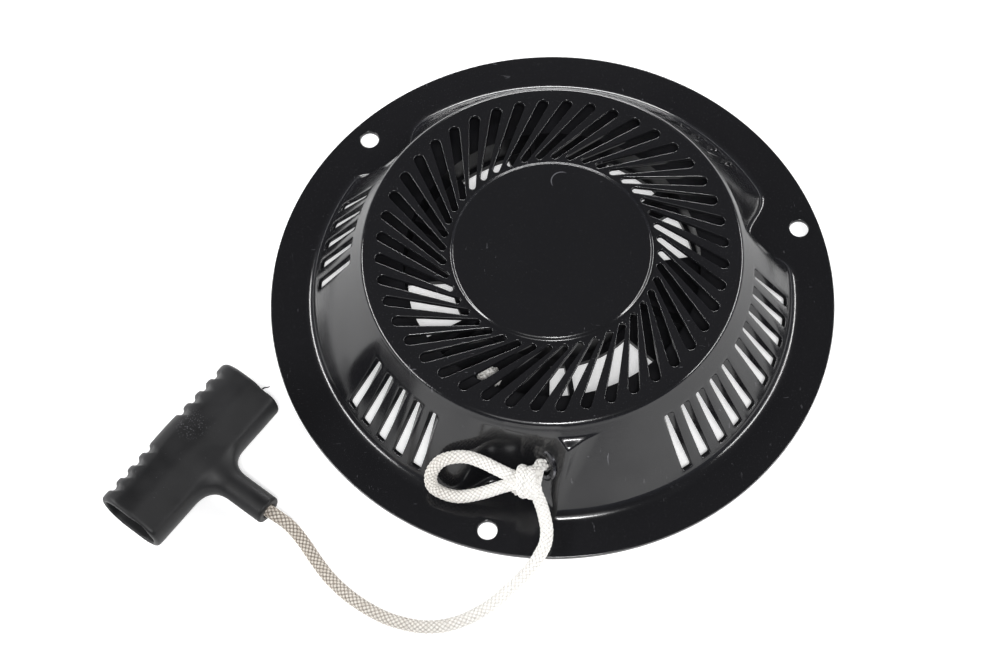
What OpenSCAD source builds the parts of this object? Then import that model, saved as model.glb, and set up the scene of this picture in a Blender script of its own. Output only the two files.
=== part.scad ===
// Recoil starter for a small engine: a stamped housing with a rope reel inside
// it, and a pull rope that ends in a rubber T-handle.
// Origin: centre of the flange's mating face. +Z: out through the dome.

/* [Housing] */
// Radius of the bolting flange
flange_r = 133; // [131:1:136]
// Thickness of the sheet steel
sheet = 2; // [1.6:0.2:2.2]
// Outer radius of the wall where it meets the flange
foot_r = 113.6; // [113:0.2:114]
// Outer radius of the wall at the rim
rim_r = 88.1; // [87.8:0.1:88.6]
// Height of the grille ring above the mating face
grille_z = 44.5; // [44.4:0.1:46]
// Radius of the raised disc in the middle
disc_r = 44.9; // [44:0.1:45.4]
// Height of the disc above the grille ring
disc_step = 1.3; // [0.8:0.1:2]

/* [Bolts] */
// Radius of the circle of bolt holes
bolt_circle_r = 123.3; // [122.8:0.1:124]
// Radius of a bolt hole, clearance for M8
bolt_hole_r = 4.5; // [4.2:0.1:4.6]
// Angle of the first bolt hole
bolt_angle = 13.45; // [13:0.05:14]
// Radius of the pocket pressed into the wall for a bolt's head
pocket_r = 20; // [19:0.5:20.5]

/* [Slots] */
// Number of slots in the grille
slot_count = 44; // [36:1:46]
// Angle that a grille slot turns through from its outer to its inner end
slot_sweep = 20; // [14:1:22]
// Width of a slot in the wall
side_slot_w = 5; // [4:0.2:5.4]
// Angle between the middles of neighbouring wall slots
side_slot_pitch = 5.6; // [5.4:0.1:5.8]

/* [Reel] */
// Radius of the reel's rope flanges
reel_r = 86.5; // [84:0.5:86.5]
// Outer radius of the rope drum
drum_r = 71; // [70:0.5:71.5]
// Inner radius of the windows in the web
window_inner_r = 46.5; // [46:0.5:48]
// Outer radius of the windows in the web
window_outer_r = 67; // [62:0.5:68]
// Radius of the post that the reel turns on
journal_r = 8; // [7.8:0.1:8.2]

/* [Pawls] */
// Radius of the circle that the pawl pins stand on
pawl_pin_circle = 30; // [29:0.5:30.5]
// Angle that a pawl swings out
pawl_swing = 25; // [22:1:26]
// Angle that the friction plate turns to swing it
plate_swing = 20; // [18:1:22]

/* [Rope and handle] */
// Diameter of the rope
rope_d = 6; // [5:0.5:6]
// Length of the handle's bar
bar_l = 84; // [80:1:90]
// Width of the bar
bar_w = 34; // [32:1:36]
// Depth of the bar
bar_h = 24; // [24:0.5:25]
// Distance from the bar's middle to the neck's end
neck_reach = 46; // [44:1:48]

/* [Hidden] */
$fn = 96;
cut = 1;

// Levels and radii inside the housing
rim_round = 3;
// Thickness of the sloped wall, measured level, for each unit of sheet
slope_skew = 1.15;
dome_z = grille_z + disc_step;
dome_under_z = dome_z - sheet;
pocket_circle = 110;
bolt_angles = [for (k = [0:2]) bolt_angle + 120 * k];
slot_outer_r = 78.3;
slot_inner_r = 49.8;
slot_outer_w = 4.8;
slot_inner_w = 3;
side_slot_z = [7.2, 34.2];
side_group_offset = 31.7;
side_group_past_boss = 58.5;
side_groups = concat([for (a = bolt_angles) a - side_group_offset],
    [bolt_angles[0] + side_group_offset, bolt_angles[1] + side_group_offset,
     bolt_angles[2] + side_group_past_boss]);

// Rope outlet: a boss whose left face carries the eyelet
boss_ridge_top = [2, -96.5, 36];
boss_ridge_foot = [-5, -113, sheet];
boss_inward = [-0.6, 0.8, 0];
outlet = [-8.4, -94.8, 20];
outlet_turn = 216.87;
outlet_tilt = 24.5;
boss_wall_shift = [0.5, 1.5, -sheet];
eyelet_r = 5.5;
eyelet_bore_r = 3.9;
lip_seat_r = 8.2;

// Levels of the post and the reel, from the bolt's head up
bolt_z = 1.1;
bolt_head_h = 4;
post_z = 6.6;
plate_z = 7.6;
plate_t = 1.6;
pawl_z = 10.8;
pawl_t = 4.8;
floor_z = 16;
floor_t = 4;
web_t = 3;
boss_z = 14;
boss_top_z = 23.7;
shoulder_z = 24.6;
case_z = 24;
case_top_z = 39.3;
cover_z = 39.5;
cover_t = 1;
rim_z = [16, 34];
flange_t = 2;
arbor_r = 12;
journal_gap = 0.05;
bushing_r = 10;
hub_r = 43;
hub_wall = 2.7;
case_r = 39.8;
rib_count = 6;
rib_angle = 35;
rope_hole_angle = 240;
// Middle and width of each window in the web, as angles
windows = [[17, 22], [50.5, 26], [116, 22], [193, 26], [290, 48]];
lug_circle = 45;
lug_angles = [3, 123, 243];
pawl_pin_r = 2.5;
drive_pin_r = 2;
drive_pin_y = -12;

// Handle's place on the table
handle_at = [-167.4, -78.6];
handle_turn = -40;
neck_r = 6.6;
grip_wall = 3;
rope_hole_r = 3.5;

// Rope from the reel, through the boss and the eyelet
run_route = [[34.5, -75, 25], [27, -79, 24.5], [19, -82.5, 23.5], [11, -86.3, 22.3], [3.4, -89.5, 20],
    [-4, -91.5, 17.8], [-8.4, -94.8, 20], [-10.2, -96.2, 21]];

// Rope from the knot, down over the flange, along the table and into the handle
rope_route = [[-14, -105, 18], [-12, -107.5, 13], [-10.3, -111, 8.5], [-9.2, -115.5, 6],
    [-8.6, -121, 5.4], [-9.5, -127, 5.4], [-12, -132, 5.3], [-15.5, -137, 4.3], [-21, -142.5, 3.3],
    [-28.5, -149, 3.1], [-37, -155.5, 3.1], [-46, -160, 3.1], [-55, -162.5, 3.1],
    [-64, -162.8, 3.1], [-73, -161, 3.1], [-82, -157.5, 3.1], [-91, -152, 3.1], [-99, -145.5, 3.1],
    [-106, -138, 3.1], [-112, -129.5, 3.6], [-117.5, -121, 5.5], [-123, -114.5, 8.5],
    [-128.5, -110.5, 11], [-134, -106.7, 12], [-142, -100, 12], [-150, -93.2, 12],
    [-158, -86.5, 12]];

// The bight that stands out of the slip knot and leans on the wall
loop_route = [[-20, -102.5, 22.5], [-25, -101, 24.5], [-30, -98.5, 25.5], [-36, -95.3, 26.3],
    [-42, -93, 26.8], [-48, -92, 25.5], [-54, -92, 22], [-58, -94, 17.5], [-59.5, -96.5, 13],
    [-58.5, -99.5, 10], [-54, -102.2, 8.8], [-48, -104.2, 9], [-42, -104.8, 11], [-35, -104.8, 14.3],
    [-28, -104.3, 18], [-22, -104, 20.5]];
knot_at = [-16.2, -104.2, 22.5];
knot_r = 7;

function unit(v) = v / norm(v);
function lerp(a, b, t) = a + (b - a) * t;
function turn(a) = [cos(a), sin(a)];

// Direction of a route at point i, and a vector square to it
function along(p, i) = unit(p[min(i + 1, len(p) - 1)] - p[max(i - 1, 0)]);
function side(t) = unit(cross(t, abs(t[2]) < 0.9 ? [0, 0, 1] : [1, 0, 0]));

// A round bar swept along a route
module swept(p, r, sides = 10) {
    rings = [for (i = [0:len(p) - 1])
        let (t = along(p, i), u = side(t), v = cross(t, u))
        for (k = [0:sides - 1]) p[i] + r * (u * cos(360 * k / sides) + v * sin(360 * k / sides))];
    walls = [for (i = [0:len(p) - 2]) for (k = [0:sides - 1])
        let (a = i * sides + k, b = i * sides + (k + 1) % sides)
        each [[a, a + sides, b + sides], [a, b + sides, b]]];
    first = [[for (k = [0:sides - 1]) k]];
    last = [[for (k = [sides - 1:-1:0]) (len(p) - 1) * sides + k]];
    polyhedron(rings, concat(walls, first, last));
}

// A flat ring between two radii, from z upwards
module ring(inner, outer, z, h) {
    translate([0, 0, z]) rotate_extrude() translate([inner, 0]) square([outer - inner, h]);
}

module outlet_frame() {
    translate(outlet) rotate([0, 90 - outlet_tilt, outlet_turn]) children();
}

module handle_frame() {
    translate([handle_at[0], handle_at[1], bar_h / 2]) rotate(handle_turn) children();
}

// Solid of revolution inside the housing's outer skin, lowered and drawn in by t
module dome(t) {
    low = t > 0 ? -cut : 0;
    rounding = [for (a = [0:15:90]) [rim_r - rim_round - t + rim_round * cos(a),
        grille_z - rim_round - t + rim_round * sin(a)]];
    rotate_extrude($fn = 144) polygon(concat(
        [[0, low], [foot_r - t * slope_skew, low], [foot_r - t * slope_skew, sheet - t]],
        rounding,
        [[disc_r + 1.6 - t, grille_z - t], [disc_r - t, dome_z - t], [0, dome_z - t]]));
}

module outlet_boss() {
    top_in = boss_ridge_top + 20 * boss_inward;
    foot_in = boss_ridge_foot + 25 * boss_inward;
    points = [boss_ridge_top, boss_ridge_foot, top_in, foot_in, [-2, -90, 38], [-8.6, -81.2, 38],
        [14.4, -89, 38], [14, -80, 38], [30, -104, 8], [10, -113, sheet], [24, -90, 30],
        [0, -85, sheet], [25, -95, sheet]];
    hull() for (p = points) translate(p) cube(0.02, center = true);
}

module pockets(r, z) {
    for (a = bolt_angles)
        translate([pocket_circle * cos(a), pocket_circle * sin(a), z]) cylinder(r = r, h = 60);
}

// Outline of a slot that narrows from one round end to the other
module tapered_slot(c1, r1, c2, r2) {
    d = unit(c2 - c1);
    lean = asin((r1 - r2) / norm(c2 - c1));
    for (s = [-1, 1]) let (n = s * cos(lean) * [-d[1], d[0]] + sin(lean) * d)
        polygon([c1, c1 + r1 * n, c2 + r2 * n, c2]);
    translate(c1) circle(r1, $fn = 32);
    translate(c2) circle(r2, $fn = 32);
}

// Room beside the boss that joins the last pocket to the eyelet's face
module outlet_room(r, z) {
    reach = foot_r + 10;
    translate([0, 0, z]) linear_extrude(60) polygon([pocket_circle * turn(bolt_angles[2]),
        r * turn(bolt_angles[2]), r * turn(258), r * turn(263), r * turn(269),
        reach * turn(269), reach * turn(bolt_angles[2])]);
}

module grille_slots() {
    translate([0, 0, grille_z - 2 * sheet]) linear_extrude(4 * sheet)
        for (k = [0:slot_count - 1]) rotate(360 * k / slot_count)
            tapered_slot(slot_outer_r * turn(0), slot_outer_w / 2,
                slot_inner_r * turn(slot_sweep), slot_inner_w / 2);
}

module side_slots() {
    for (group = side_groups, k = [-2:2]) rotate(group + k * side_slot_pitch)
        translate([rim_r - 12, -side_slot_w / 2, side_slot_z[0]])
            cube([foot_r - rim_r + 16, side_slot_w, side_slot_z[1] - side_slot_z[0]]);
}

// Stamped cover: flange, sloped wall with bolt pockets, grille and disc
module housing() {
    color("#16161a") difference() {
        union() {
            cylinder(r = flange_r, h = sheet, $fn = 144);
            difference() {
                dome(0);
                pockets(pocket_r, sheet);
                outlet_room(pocket_circle - pocket_r + 0.7, sheet);
            }
            outlet_boss();
        }
        difference() {
            dome(sheet);
            pockets(pocket_r + sheet, -2 * cut);
            outlet_room(pocket_circle - pocket_r - sheet + 0.7, -2 * cut);
        }
        translate(boss_wall_shift) outlet_boss();
        translate(boss_wall_shift - [0, 0, 3]) outlet_boss();
        grille_slots();
        side_slots();
        for (a = bolt_angles) rotate(a) translate([bolt_circle_r, 0, -cut])
            cylinder(r = bolt_hole_r, h = sheet + 2 * cut, $fn = 48);
        outlet_frame() translate([0, 0, -4]) cylinder(r = eyelet_r, h = 8, $fn = 48);
        outlet_frame() cylinder(r = lip_seat_r, h = 1.6, $fn = 48);
    }
}

// Plate that spreads the post's load on the disc
module post_plate() {
    color("#3a3b3e") difference() {
        ring(bushing_r, 30, dome_under_z - sheet, sheet);
        for (k = [0:3]) rotate(45 + 90 * k) translate([22, 0, dome_under_z - 3])
            cylinder(r = 2.5, h = 4, $fn = 24);
    }
}

module centre_post() {
    color("#a8aaad") difference() {
        union() {
            translate([0, 0, post_z]) cylinder(r = journal_r, h = shoulder_z - post_z);
            translate([0, 0, shoulder_z])
                cylinder(r = arbor_r, h = dome_under_z - sheet - shoulder_z);
            translate([0, 0, dome_under_z - sheet]) cylinder(r = bushing_r, h = sheet);
        }
        translate([0, 0, post_z - cut]) cylinder(r = 2.5, h = 24, $fn = 32);
        translate([arbor_r - 3, -1, shoulder_z + 1]) cube([4, 2, case_top_z - shoulder_z - 1]);
    }
}

module upper_thrust_washer() {
    color("#c8b98a") ring(journal_r + journal_gap, arbor_r, shoulder_z - 0.6, 0.6);
}

module rope_eyelet() {
    color("#8d8f93") outlet_frame() rotate_extrude($fn = 48) polygon([[eyelet_bore_r, -3.2],
        [eyelet_r, -3.2], [eyelet_r, 0.03], [8, 0.03], [8, 0.7], [7.2, 1.3], [5.4, 1.3],
        [eyelet_bore_r, 0.6]]);
}

module eyelet_ring() {
    color("#8d8f93") outlet_frame() ring(eyelet_r, 8.5, -3.3, 1);
}

module thrust_washer() {
    color("#c8b98a") ring(journal_r + journal_gap, arbor_r, post_z + 0.1, 0.7);
}

module bolt_washer() {
    color("#b9bcc0") ring(3.2, arbor_r, post_z - 1.5, 1.5);
}

module retaining_bolt() {
    color("#b9bcc0") union() {
        translate([0, 0, bolt_z]) cylinder(r = 5.77, h = bolt_head_h, $fn = 6);
        translate([0, 0, bolt_z + bolt_head_h - 0.6]) cylinder(r = 7, h = 0.6);
        translate([0, 0, bolt_z + bolt_head_h - 0.1]) cylinder(r = 2.5, h = 20, $fn = 32);
    }
}

module rope_run() {
    color("#d9d3c2") swept(run_route, rope_d / 2);
}

// A window between two radii, as wide as that angle
module window_outline(middle, width) {
    intersection() {
        difference() {
            circle(window_outer_r);
            circle(window_inner_r);
        }
        polygon([[0, 0], 90 * turn(middle - width / 2), 95 * turn(middle), 90 * turn(middle + width / 2)]);
    }
}

// Moulded reel: hub with a spring cup above, a web with windows, and a rim with the rope groove
module reel() {
    color("#202124") difference() {
        union() {
            ring(bushing_r, 14, boss_z, boss_top_z - boss_z);
            ring(13, hub_r, floor_z, floor_t);
            ring(hub_r - hub_wall, hub_r, floor_z, cover_z - floor_z);
            for (k = [0:rib_count - 1]) rotate(rib_angle + 360 * k / rib_count)
                translate([13.5, -1.2, floor_z + 1])
                    cube([hub_r - 14.5, 2.4, case_z - floor_z - 1]);
            for (a = lug_angles) rotate(a) translate([lug_circle, 0, case_z + 4])
                cylinder(r = 4, h = cover_z - case_z - 4.2, $fn = 40);
            ring(hub_r - 1, drum_r - 1, floor_z, web_t);
            for (k = [0:rib_count - 1]) rotate(rib_angle + 360 * k / rib_count)
                translate([hub_r - 1, -1.2, floor_z + 1]) cube([drum_r - hub_r, 2.4, 11]);
            ring(drum_r - 2.5, drum_r, rim_z[0], rim_z[1] - rim_z[0]);
            ring(drum_r - 1, reel_r, rim_z[0], flange_t);
            ring(drum_r - 1, reel_r, rim_z[1] - flange_t, flange_t);
        }
        for (a = [0, 180]) rotate(a) translate([pawl_pin_circle, 0, floor_z - cut])
            cylinder(r = pawl_pin_r, h = 3.5 + cut, $fn = 32);
        for (a = lug_angles) rotate(a) translate([lug_circle, 0, cover_z - 8])
            cylinder(r = 1.5, h = 10, $fn = 24);
        for (w = windows) translate([0, 0, floor_z - cut]) linear_extrude(web_t + 1.5 * cut)
            window_outline(w[0], w[1]);
        rotate(rope_hole_angle) translate([drum_r - 8, 0, 25]) rotate([0, 90, 0])
            cylinder(r = 3.4, h = 12, $fn = 32);
    }
}

module reel_bushing() {
    color("#a9803f") ring(journal_r + journal_gap, bushing_r, boss_z, boss_top_z - boss_z);
}

module spring_case() {
    color("#77797d") union() {
        ring(13, case_r, case_z, 1);
        ring(case_r - 1, case_r, case_z, case_top_z - case_z);
    }
}

// Flat coiled spring, from the post's arbor out to the case
module mainspring() {
    turns = 8;
    strip_t = 0.8;
    steps = 20;
    start_r = arbor_r + 0.6;
    end_r = case_r - 2.2;
    edge = [for (i = [0:turns * steps]) let (t = i / (turns * steps))
        lerp(start_r, end_r, t) * turn(360 * i / steps)];
    outer = [for (i = [turns * steps:-1:0]) let (t = i / (turns * steps))
        (lerp(start_r, end_r, t) + strip_t) * turn(360 * i / steps)];
    color("#5d6066") translate([0, 0, case_z + 1.3]) linear_extrude(13.4)
        polygon(concat(edge, outer));
}

module spring_cover() {
    color("#77797d") difference() {
        union() {
            ring(13.5, hub_r, cover_z, cover_t);
            for (a = lug_angles) rotate(a) translate([lug_circle, 0, cover_z])
                cylinder(r = 4, h = cover_t, $fn = 40);
        }
        for (a = lug_angles) rotate(a) translate([lug_circle, 0, cover_z - cut])
            cylinder(r = 1.5, h = 3, $fn = 24);
    }
}

module cover_screws() {
    color("#b9bcc0") for (a = lug_angles) rotate(a) translate([lug_circle, 0, 0]) difference() {
        union() {
            translate([0, 0, cover_z - 7]) cylinder(r = 1.5, h = 7 + cover_t, $fn = 24);
            translate([0, 0, cover_z + cover_t]) cylinder(r = 3, h = 1.4, $fn = 32);
        }
        for (t = [0, 90]) rotate(t) translate([-2, -0.4, cover_z + cover_t + 0.7]) cube([4, 0.8, 2]);
    }
}

module rope_wound() {
    low = rim_z[0] + flange_t + 0.5;
    high = rim_z[1] - flange_t - 0.5;
    color("#d9d3c2") rotate_extrude() polygon([[drum_r + 0.2, low], [78, low], [79.5, low + 1.5],
        [79.5, high - 1.5], [78, high], [drum_r + 0.2, high]]);
}

module reel_knot() {
    color("#d9d3c2") rotate(rope_hole_angle) union() {
        translate([61.5, 0, 25]) sphere(r = 6, $fn = 40);
        translate([61.5, 0, 25]) rotate([0, 90, 0]) cylinder(r = 3, h = drum_r + 0.2 - 61.5, $fn = 32);
    }
}

module pawl_pins() {
    color("#b9bcc0") for (a = [0, 180]) rotate(a) translate([pawl_pin_circle, 0, 0]) union() {
        translate([0, 0, 10]) cylinder(r = pawl_pin_r, h = floor_z + 3.5 - 10, $fn = 32);
        translate([0, 0, 9.6]) cylinder(r = 4, h = 0.8, $fn = 40);
    }
}

// Steel pawl, drawn at its pin, with the peg that the friction plate drives
module pawl() {
    color("#8e9196") difference() {
        union() {
            translate([0, 0, pawl_z]) linear_extrude(2.4) circle(5.4, $fn = 48);
            translate([0, 0, pawl_z]) linear_extrude(pawl_t) difference() {
                polygon([[-4.8, -4], [-5.2, -12], [-3, -21.5], [-1.5, -23], [2, -23], [3, -20],
                    [5, -9], [4.8, -4]]);
                circle(6.4, $fn = 48);
            }
            translate([0, 0, pawl_z]) linear_extrude(2.4)
                polygon([[-5.3, 0], [-5.1, -8], [4.95, -8], [5.3, 0]]);
            translate([0, drive_pin_y, plate_z + 0.1])
                cylinder(r = drive_pin_r, h = pawl_z - plate_z, $fn = 32);
        }
        translate([0, 0, pawl_z - cut]) cylinder(r = pawl_pin_r + 0.06, h = 8, $fn = 32);
    }
}

module pawl_1() {
    translate([pawl_pin_circle, 0, 0]) pawl();
}

module pawl_2() {
    rotate(180) translate([pawl_pin_circle, 0, 0]) pawl();
}

// Small torsion spring round a pawl's pin, with one leg on the pawl's outer edge
module pawl_spring() {
    wire_r = 0.4;
    coil_r = 3.7;
    coil = [for (i = [0:30]) [coil_r * cos(12 + 30 * i), coil_r * sin(12 + 30 * i),
        13.8 + 0.05 * i]];
    legs = concat([[5.8, -10, 13.7], [5.2, -4, 13.7]], coil, [[-4.5, 5, 15.35], [-8, 8, 15.4]]);
    color("#b9bcc0") swept(legs, wire_r, 8);
}

module pawl_spring_1() {
    translate([pawl_pin_circle, 0, 0]) pawl_spring();
}

module pawl_spring_2() {
    rotate(180) translate([pawl_pin_circle, 0, 0]) pawl_spring();
}

// Coil that presses the friction plate on its washer
module friction_spring() {
    wire_r = 0.7;
    low = plate_z + plate_t + wire_r + 0.05;
    high = boss_z - wire_r - 0.05;
    turns = 2.5;
    steps = 16;
    coil = [for (i = [0:turns * steps]) [10.4 * cos(360 * i / steps), 10.4 * sin(360 * i / steps),
        lerp(low, high, i / (turns * steps))]];
    color("#b9bcc0") swept(coil, wire_r, 8);
}

// Path of a pawl's peg across the friction plate as the plate swings it out
function peg(t) = let (q = [pawl_pin_circle, 0] - drive_pin_y * [sin(t * pawl_swing),
    -cos(t * pawl_swing)], a = -t * plate_swing)
    [q[0] * cos(a) - q[1] * sin(a), q[0] * sin(a) + q[1] * cos(a)];

module cam_slot() {
    w = drive_pin_r + 0.5;
    steps = 8;
    edge = function (s) [for (i = [0:steps]) let (t = i / steps,
        d = unit(peg(min(t + 0.05, 1)) - peg(max(t - 0.05, 0)))) peg(t) + s * w * [-d[1], d[0]]];
    right = edge(-1);
    polygon(concat(edge(1), [for (i = [steps:-1:0]) right[i]]));
    for (t = [0, 1]) translate(peg(t)) circle(w, $fn = 32);
}

module friction_plate() {
    reach = 39.5;
    color("#9b9ea3") translate([0, 0, plate_z]) linear_extrude(plate_t) difference() {
        union() {
            circle(17);
            for (a = [0, 180]) rotate(a) intersection() {
                circle(reach);
                polygon([[0, 0], 60 * turn(-50), 60 * turn(-30), 60 * turn(-9)]);
            }
        }
        circle(journal_r + 0.08);
        for (a = [0, 180]) rotate(a) cam_slot();
        for (a = [70, 115, 250, 295]) rotate(a) translate([13, 0]) circle(2, $fn = 32);
    }
}

module starter_rope() {
    color("#e6e0cf") swept(rope_route, rope_d / 2);
}

module rope_loop() {
    color("#e6e0cf") swept(loop_route, rope_d / 2);
}

module slip_knot() {
    color("#e6e0cf") translate(knot_at) sphere(r = knot_r, $fn = 48);
}

// Oval outline of the bar
module bar_outline(inset) {
    r = bar_h / 2 - inset;
    for (x = [-1, 1]) translate([x * (bar_w / 2 - bar_h / 2), 0]) circle(r, $fn = 64);
    square([bar_w - bar_h, 2 * r], center = true);
}

module handle_grip() {
    color("#1b1b1d") handle_frame() difference() {
        union() {
            rotate([90, 0, 0]) translate([0, 0, -bar_l / 2]) linear_extrude(bar_l) bar_outline(0);
            translate([bar_w / 2 - 6, 0, 0]) rotate([0, 90, 0]) cylinder(r1 = 11, r2 = neck_r, h = 16);
            translate([bar_w / 2 - 6, 0, 0]) rotate([0, 90, 0])
                cylinder(r = neck_r, h = neck_reach - bar_w / 2 + 6, $fn = 48);
        }
        rotate([90, 0, 0]) translate([0, 0, -bar_l / 2 - cut]) linear_extrude(bar_l + 2 * cut)
            bar_outline(grip_wall);
        translate([bar_w / 2 - 8, 0, 0]) rotate([0, 90, 0])
            cylinder(r = rope_hole_r, h = neck_reach, $fn = 32);
    }
}

// Washer that stops the rope's knot pulling through the bar's wall
module rope_retainer() {
    color("#b9bcc0") handle_frame() rotate([0, 90, 0]) ring(rope_hole_r, 6.5, 9.2, 1.6);
}

module handle_knot() {
    color("#e6e0cf") handle_frame() translate([2.4, 0, 0]) sphere(r = 6.5, $fn = 48);
}

housing();
post_plate();
centre_post();
upper_thrust_washer();
rope_eyelet();
eyelet_ring();
thrust_washer();
bolt_washer();
retaining_bolt();
rope_run();
reel();
reel_bushing();
spring_case();
mainspring();
spring_cover();
cover_screws();
rope_wound();
reel_knot();
pawl_pins();
pawl_spring_1();
pawl_spring_2();
friction_spring();
friction_plate();
pawl_1();
pawl_2();
starter_rope();
rope_loop();
slip_knot();
handle_grip();
rope_retainer();
handle_knot();
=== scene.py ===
"""Looks of the recoil starter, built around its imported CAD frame. Lengths are in metres."""
import math
import bmesh
import bpy
import numpy as np
from mathutils import Matrix, Vector


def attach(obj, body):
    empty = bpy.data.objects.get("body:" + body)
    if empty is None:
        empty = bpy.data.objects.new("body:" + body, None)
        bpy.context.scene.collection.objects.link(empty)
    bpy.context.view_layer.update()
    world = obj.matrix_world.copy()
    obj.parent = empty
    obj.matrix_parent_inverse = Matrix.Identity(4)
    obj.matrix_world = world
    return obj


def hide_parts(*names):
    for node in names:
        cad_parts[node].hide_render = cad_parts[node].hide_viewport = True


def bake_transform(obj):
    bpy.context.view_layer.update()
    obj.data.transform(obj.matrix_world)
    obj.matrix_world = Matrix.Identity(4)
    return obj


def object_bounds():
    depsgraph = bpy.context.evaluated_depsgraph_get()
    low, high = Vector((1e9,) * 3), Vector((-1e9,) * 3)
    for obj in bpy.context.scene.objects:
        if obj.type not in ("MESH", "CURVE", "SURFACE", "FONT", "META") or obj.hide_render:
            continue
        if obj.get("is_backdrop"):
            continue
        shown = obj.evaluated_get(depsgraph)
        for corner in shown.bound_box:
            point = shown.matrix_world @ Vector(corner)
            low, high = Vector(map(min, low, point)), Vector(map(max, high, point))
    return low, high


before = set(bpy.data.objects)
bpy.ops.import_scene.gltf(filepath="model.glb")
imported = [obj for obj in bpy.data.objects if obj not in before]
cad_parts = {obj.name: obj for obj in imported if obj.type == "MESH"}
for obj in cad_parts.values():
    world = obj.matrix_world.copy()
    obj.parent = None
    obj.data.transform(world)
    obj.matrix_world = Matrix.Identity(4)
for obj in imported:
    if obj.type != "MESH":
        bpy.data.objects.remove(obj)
cad_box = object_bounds()

MM = 0.001
TAU = 2 * math.pi

# Housing, as in the CAD
FLANGE_Z = 2.0
SHEET = 2.0
FOOT_R = 113.6
WALL_SLOPE = 25.5 / 40.3
RIM_CENTRE = (85.1, 41.5)
RIM_ROUND = 3.0
GRILLE_Z = 44.5
DISC_Z = 45.8
BOLT_CIRCLE_R = 123.3
BOLT_HOLE_R = 4.5
BOLT_ANGLES = (13.45, 133.45, 253.45)
POCKET_HALF = 13.2  # measured along a circle of the next radius
POCKET_AT_R = 105.0
POCKET_TOP_R = 89.2
POCKET_DRAFT = 0.22
POCKET_FACE_ROUND = 3.0  # these two are for the pocket that the boss cuts into
POCKET_EDGE_ROUND = 1.5
SLOT_COUNT = 44
SLOT_OUTER = (78.3, 2.4)  # where the rounded end's centre is, and its own radius
SLOT_INNER = (49.8, 1.5)
SLOT_SWEEP = 20.0
SIDE_SLOT_HALF = 2.5
SIDE_SLOT_Z = (7.2, 34.2)
SIDE_SLOT_ROUND = 0.9
SIDE_SLOT_PITCH = 5.6  # degrees
SLOT_DRAG = (1.2, 2.5)  # of the left and the right edge, at the slot's top
SIDE_GROUPS = (341.75, 101.75, 221.75, 45.15, 165.15, 311.95)  # middle of each group of five

# How the housing's mesh is divided
FLANGE_ROWS = (133.0, 132.96, 132.8, 132.5, 131.0, 129.2, 127.2, 125.2, BOLT_CIRCLE_R,
               121.3, 119.3, 117.4)
FLANGE_EDGE_DROPS = (0.5, 0.22, 0.07)
LIP = ((0.50, 0.0), (0.26, 0.07), (0.09, 0.22), (0.0, 0.5))  # (distance from a hole, drop)
HOLE_ROWS = (5, 11)
HOLE_BLOCK = 3.4  # half of a bolt hole's block, in degrees
POCKET_BLOCK = 14
FOOT_ROUND = 3.0
NORMAL_BLURS = 6
FINE_COLUMN = 0.46
COARSE_COLUMN = 0.95
GRILLE_ENDS = 8
GRILLE_SIDES = 16
GRILLE_SPAN = (82.0, 47.3)
DISC_PROFILE = ((46.9, 0.0), (46.55, 0.03), (46.25, 0.14), (45.95, 0.34), (45.55, 0.72),
                (45.2, 1.02), (44.85, 1.2), (44.4, 1.285), (43.8, 1.3), (41.0, 1.3), (34.0, 1.3),
                (26.0, 1.3), (18.0, 1.3), (10.0, 1.3), (4.0, 1.3))  # (radius, rise)

# Rope outlet's boss: one face as (normal, distance), and corners of the others
BOSS_LEFT = ((-0.8, -0.6, 0.456), 72.7)
BOSS_RIDGE_TOP = (2.0, -96.5, 36.0)
BOSS_RIDGE_FOOT = (-5.0, -113.0, 2.0)
BOSS_SHELF = ((-2.0, -90.0, 38.0), (14.4, -89.0, 38.0))
BOSS_SPAN = (236.0, 304.0)
BOSS_END = 293.0
BOSS_RIDGE_ROUND = 2.4
BOSS_TOP_ROUND = 1.2
BOSS_WALL_ROUND = 1.6

# Rope
ROPE_D = 6.0
ROPE_STEP = 0.34
HIDDEN_YARN = (12, 19.0, 0.85)  # strands, pitch and radius of a strand
RUN_ROUTE = [(34.5, -75, 25), (27, -79, 24.5), (19, -82.5, 23.5), (11, -86.3, 22.3),
             (3.4, -89.5, 20), (-4, -91.5, 17.8), (-8.4, -94.8, 20), (-10.2, -96.2, 21)]
LEAD_END = (-13.0, -100.5, 22.0)
ROPE_ROUTE = [(-14, -105, 18), (-12, -107.5, 13), (-10.3, -111, 8.5), (-9.2, -115.5, 6),
              (-8.6, -121, 5.4), (-9.5, -127, 5.4), (-12, -132, 5.3), (-15.5, -137, 4.3),
              (-21, -142.5, 3.3), (-28.5, -149, 3.1), (-37, -155.5, 3.1), (-46, -160, 3.1),
              (-55, -162.5, 3.1), (-64, -162.8, 3.1), (-73, -161, 3.1), (-82, -157.5, 3.1),
              (-91, -152, 3.1), (-99, -145.5, 3.1), (-106, -138, 3.1), (-112, -129.5, 3.6),
              (-117.5, -121, 5.5), (-123, -114.5, 8.5), (-128.5, -110.5, 11), (-134, -106.7, 12),
              (-142, -100, 12), (-150, -93.2, 12), (-158, -86.5, 12)]
LOOP_ROUTE = [(-20, -102.5, 22.5), (-25, -101, 24.5), (-30, -98.5, 25.5), (-36, -95.3, 26.3),
              (-42, -93, 26.8), (-48, -92, 25.5), (-54, -92, 22), (-58, -94, 17.5),
              (-59.5, -96.5, 13), (-58.5, -99.5, 10), (-54, -102.2, 8.8), (-48, -104.2, 9),
              (-42, -104.8, 11), (-35, -104.8, 14.3), (-28, -104.3, 18), (-22, -104, 20.5)]

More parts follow.
